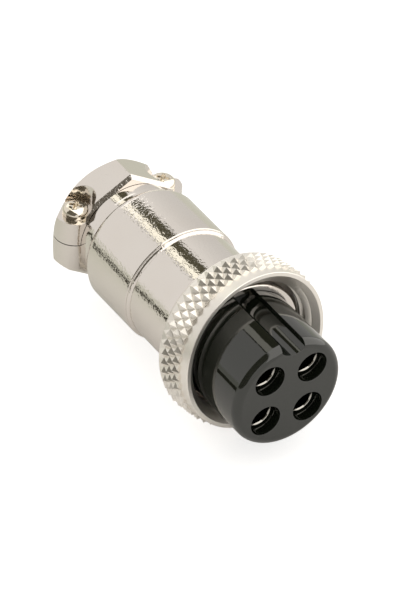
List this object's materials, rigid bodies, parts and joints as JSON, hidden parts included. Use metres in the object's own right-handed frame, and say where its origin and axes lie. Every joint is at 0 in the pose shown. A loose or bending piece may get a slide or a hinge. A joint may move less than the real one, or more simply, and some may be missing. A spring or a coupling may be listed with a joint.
{
  "type": "circular aviation plug connector",
  "caption": "Round cable plug with a keyed socket insert, a knurled screw-on coupling ring, a plain barrel and a screwed cable clamp.",
  "frame": {"origin": "centre of the insulator's front face", "axes": "+X along the plug towards its mating end, +Z along the clamp screws towards their heads, on the side of the keyway"},
  "size_m": [0.0357, 0.019, 0.0191],
  "materials": {
    "moulded_black": "smooth moulded black",
    "nickel": "satin nickel plate over brass",
    "ring_nickel": "satin nickel plate over brass, knurled",
    "contact_metal": "silvery plate over brass",
    "screw_metal": "bright plated steel",
    "spring_steel": "plain spring steel"
  },
  "bodies": {
    "front": {"insulator": "moulded_black", "contact_1": "contact_metal", "contact_2": "contact_metal", "contact_3": "contact_metal", "contact_4": "contact_metal", "front_shell": "nickel", "snap_ring": "spring_steel"},
    "ring": {"coupling_ring": "ring_nickel"},
    "clamp": {"clamp_base": "nickel"},
    "shell": {"rear_shell": "nickel"},
    "saddle": {"clamp_saddle": "nickel"},
    "left_screw": {"clamp_screw_left": "screw_metal"},
    "right_screw": {"clamp_screw_right": "screw_metal"}
  },
  "joints": [
    {"name": "ring_spin", "type": "hinge", "parent": "front", "child": "ring", "pos_m": [-0.0125, 0, 0], "axis": [0.9903, 0.0758, 0.1167], "continuous": true},
    {"name": "clamp_withdraw", "type": "slide", "parent": "front", "child": "clamp", "axis": [-1, 0, 0], "range_m": [0, 0.0045]},
    {"name": "shell_unscrew", "type": "hinge", "parent": "clamp", "child": "shell", "pos_m": [-0.025, 0, 0], "axis": [-1, 0, 0], "range_deg": [0, 2160]},
    {"name": "saddle_lift", "type": "slide", "parent": "clamp", "child": "saddle", "axis": [0, 0, 1], "range_m": [0, 0.0021]},
    {"name": "left_screw_turn", "type": "hinge", "parent": "saddle", "child": "left_screw", "pos_m": [-0.03352, -0.00555, 0.003], "axis": [0, 0, 1], "range_deg": [0, 2160]},
    {"name": "right_screw_turn", "type": "hinge", "parent": "saddle", "child": "right_screw", "pos_m": [-0.03352, 0.00555, 0.003], "axis": [0, 0, 1], "range_deg": [0, 2160]}
  ],
  "couplings": [
    {"joint": "shell_unscrew", "follows": "clamp_withdraw", "rad_per_m": 8377.6},
    {"joint": "left_screw_turn", "follows": "saddle_lift", "rad_per_m": 17952},
    {"joint": "right_screw_turn", "follows": "saddle_lift", "rad_per_m": 17952}
  ]
}
